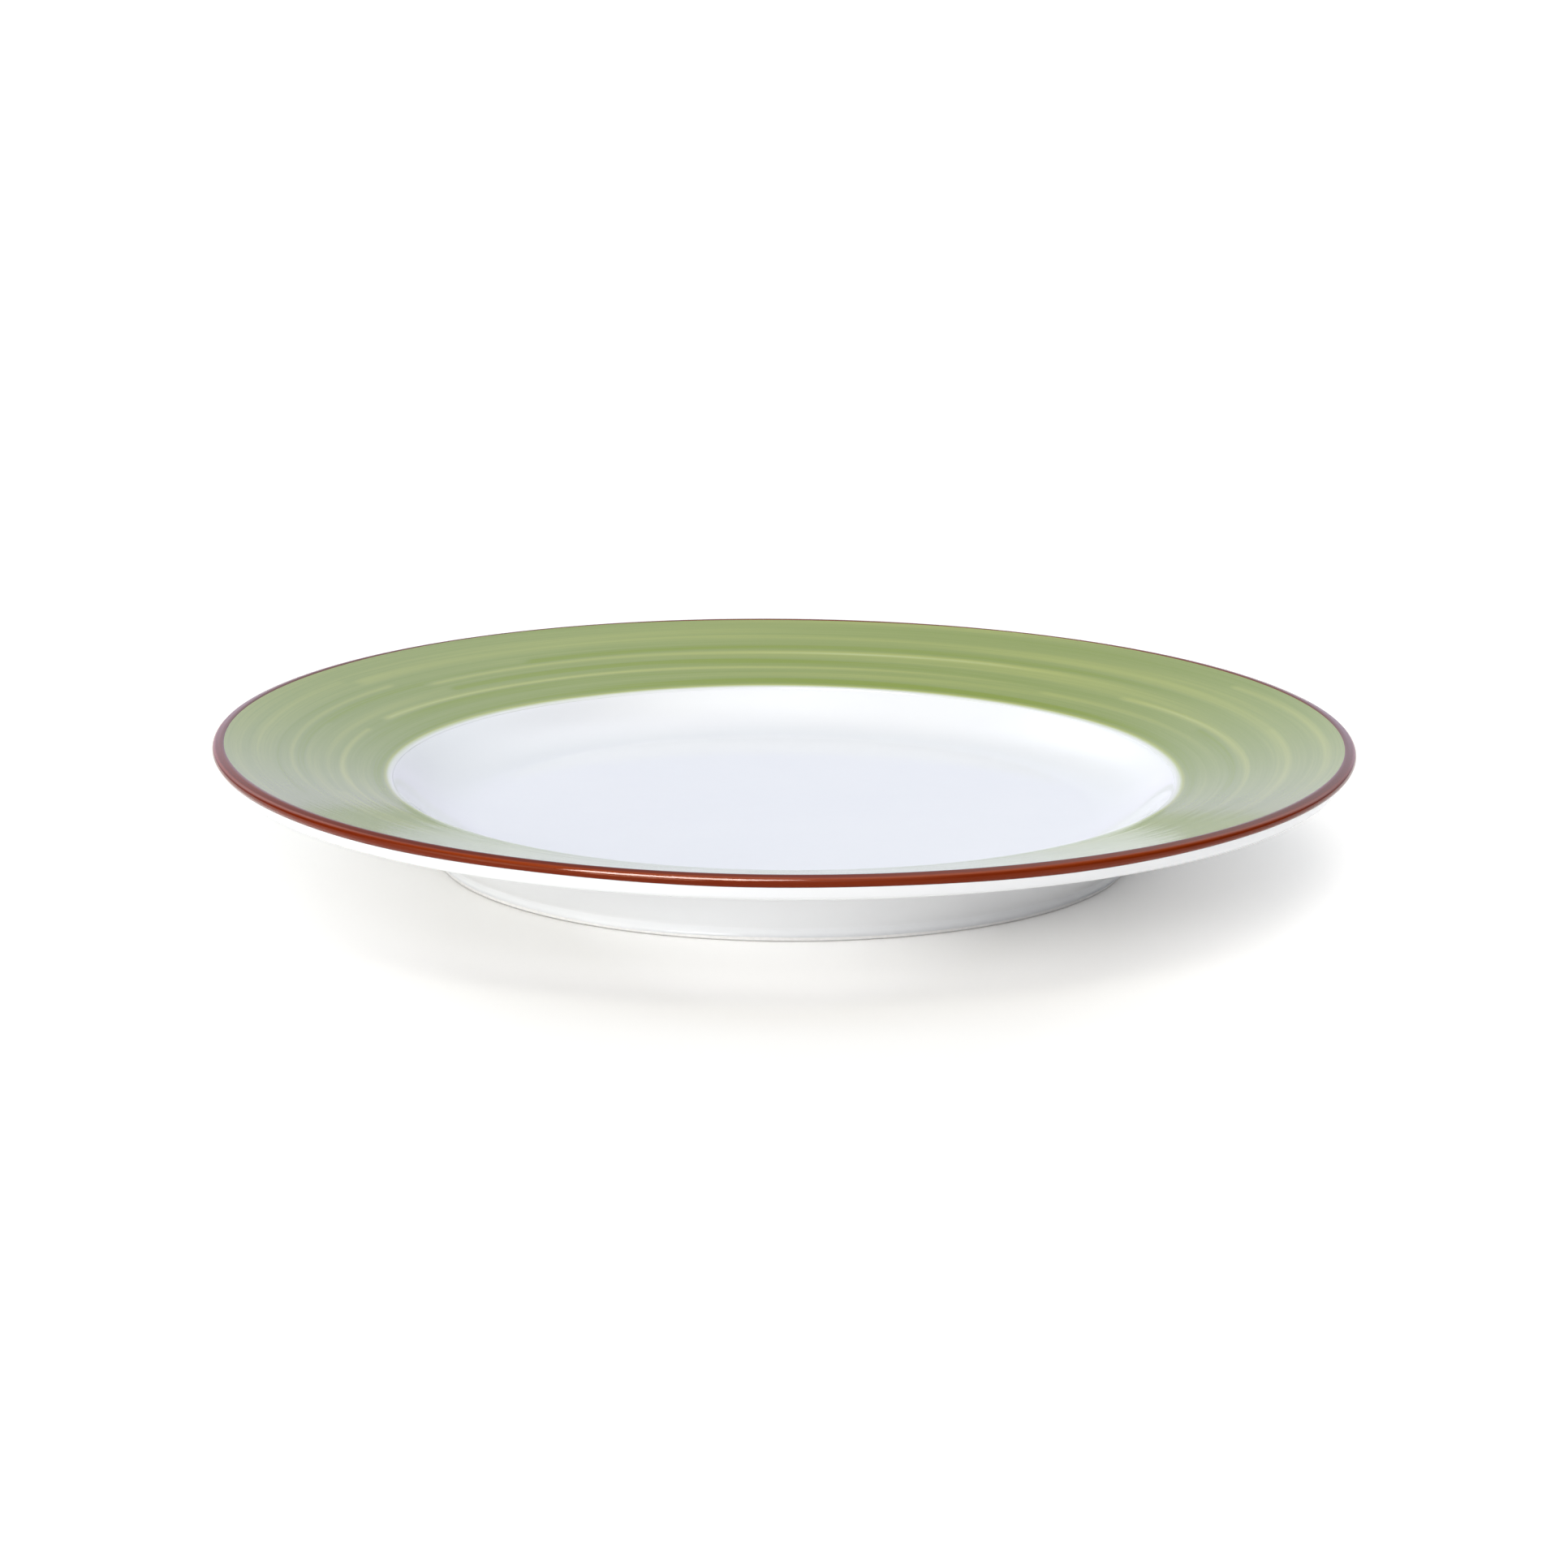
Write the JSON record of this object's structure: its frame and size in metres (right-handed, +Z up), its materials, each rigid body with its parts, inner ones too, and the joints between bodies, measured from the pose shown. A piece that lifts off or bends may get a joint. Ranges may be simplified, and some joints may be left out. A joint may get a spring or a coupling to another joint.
{
  "type": "dinner plate",
  "caption": "Round rimmed china dinner plate with a shallow well, a foot ring, a green banded rim and a brown line over the edge.",
  "frame": {"origin": "centre of the foot ring's contact plane, on the plate's axis", "axes": "+Z up along the plate's axis; +X to the right and +Y away from a person sitting at the table, though the plate is the same all the way round"},
  "size_m": [0.27, 0.27, 0.0287],
  "materials": {
    "fired_body": "matt, unglazed, seen only where the foot ring meets the table",
    "clear_glaze": "high gloss, clear over white china",
    "green_enamel": "gloss, hand banded, with lighter yellow-green brush lines",
    "brown_enamel": "gloss, hand lined"
  },
  "bodies": {
    "root": {"porcelain_body": "fired_body", "glaze_outer": "clear_glaze", "glaze_base": "clear_glaze", "green_band": "green_enamel", "brown_edge_line": "brown_enamel"}
  },
  "joints": []
}
